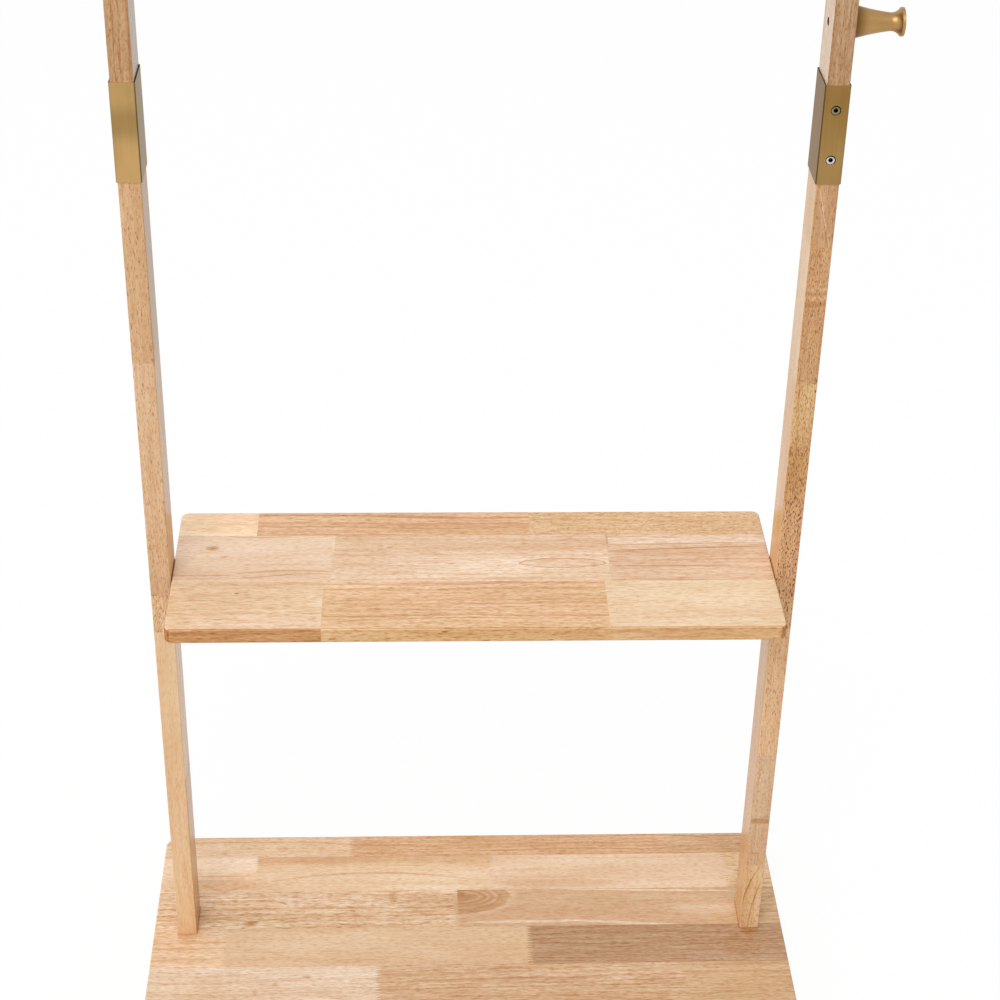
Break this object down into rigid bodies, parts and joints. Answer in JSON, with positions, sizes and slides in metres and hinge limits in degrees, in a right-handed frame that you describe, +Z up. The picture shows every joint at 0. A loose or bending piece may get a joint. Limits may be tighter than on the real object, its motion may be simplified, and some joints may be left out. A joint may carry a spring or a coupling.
{
  "type": "clothes rack",
  "caption": "Free-standing wooden clothes rack: base board, deep uprights in sleeved halves, shelf between them, round hanging rail above and a turned coat hook at the side.",
  "frame": {"origin": "on the floor, midway between the two uprights and in the plane through the middle of both", "axes": "+Z up, +X to the right along the shelf towards the upright with the hook, +Y to the back"},
  "size_m": [0.8247, 0.34, 1.7],
  "materials": {
    "rubberwood": "clear satin lacquer",
    "dowel_wood": "bare",
    "satin_brass": "satin",
    "zinc_steel": "zinc plated",
    "foot_rubber": "matte"
  },
  "bodies": {
    "root": {"base_board": "rubberwood", "shelf_board": "rubberwood", "lower_upright_left": "rubberwood", "lower_upright_right": "rubberwood", "upper_upright_left": "rubberwood", "upper_upright_right": "rubberwood", "sleeve_left": "satin_brass", "sleeve_right": "satin_brass", "sleeve_screws_left": "zinc_steel", "sleeve_screws_right": "zinc_steel", "sleeve_inserts_left": "zinc_steel", "sleeve_inserts_right": "zinc_steel", "shelf_bolts_left": "zinc_steel", "shelf_bolts_right": "zinc_steel", "shelf_inserts_left": "zinc_steel", "shelf_inserts_right": "zinc_steel", "shelf_dowel_left": "dowel_wood", "shelf_dowel_right": "dowel_wood", "base_bolts_left": "zinc_steel", "base_bolts_right": "zinc_steel", "base_inserts_left": "zinc_steel", "base_inserts_right": "zinc_steel", "base_dowel_left": "dowel_wood", "base_dowel_right": "dowel_wood", "clothes_rail": "satin_brass", "rail_plug_left": "zinc_steel", "rail_plug_right": "zinc_steel", "rail_bolt_left": "zinc_steel", "rail_bolt_right": "zinc_steel", "coat_hook": "satin_brass", "hook_screw": "zinc_steel", "foot_front_left": "foot_rubber", "foot_front_right": "foot_rubber", "foot_back_left": "foot_rubber", "foot_back_right": "foot_rubber", "foot_screws": "zinc_steel"}
  },
  "joints": []
}
